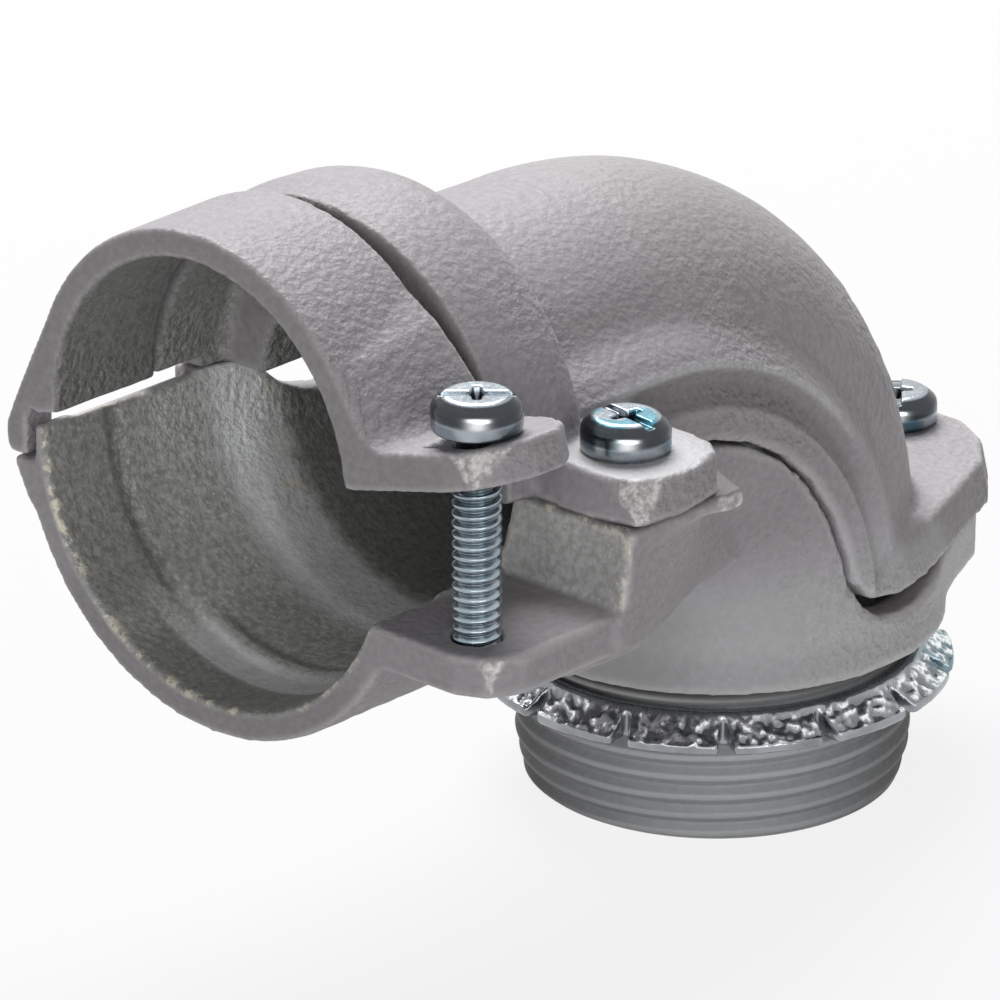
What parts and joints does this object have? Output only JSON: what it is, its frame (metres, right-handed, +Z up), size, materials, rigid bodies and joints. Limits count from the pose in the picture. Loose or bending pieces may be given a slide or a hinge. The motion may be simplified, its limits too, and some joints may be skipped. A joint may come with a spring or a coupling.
{
  "type": "angle squeeze conduit connector",
  "caption": "Cast right-angle connector: a hinged strap and screw squeeze a flexible conduit at the mouth, and a threaded hub with a locknut fixes it to an enclosure wall.",
  "frame": {"origin": "on the axis of the threaded hub, at the seat that meets the enclosure wall", "axes": "+Z up along the hub axis, away from the wall; -X out of the conduit mouth; -Y toward the side with the clamp screw"},
  "size_m": [0.1106, 0.0676, 0.0799],
  "materials": {
    "casting": "grainy cast surface with a matt grey zinc coat",
    "screw_steel": "bright zinc plate",
    "nut_steel": "bright zinc plate, rough on the lobes"
  },
  "bodies": {
    "casting": {"body_casting": "casting", "cover": "casting", "front_cover_screw": "screw_steel", "back_cover_screw": "screw_steel"},
    "strap": {"strap": "casting"},
    "strap_screw": {"strap_screw": "screw_steel"},
    "locknut": {"locknut": "nut_steel"}
  },
  "joints": [
    {"name": "strap_hinge", "type": "hinge", "parent": "casting", "child": "strap", "pos_m": [-0.068, 0.0255, 0.0326], "axis": [1, 0, 0], "range_deg": [0, 14]},
    {"name": "screw_travel", "type": "slide", "parent": "casting", "child": "strap_screw", "axis": [0, 0, -1], "range_m": [0, 0.01505]},
    {"name": "locknut_turn", "type": "hinge", "parent": "casting", "child": "locknut", "pos_m": [0, 0, -0.0046], "axis": [0, 0, 1], "continuous": true}
  ],
  "couplings": [
    {"joint": "screw_travel", "follows": "strap_hinge", "m_per_rad": 0.0614}
  ]
}
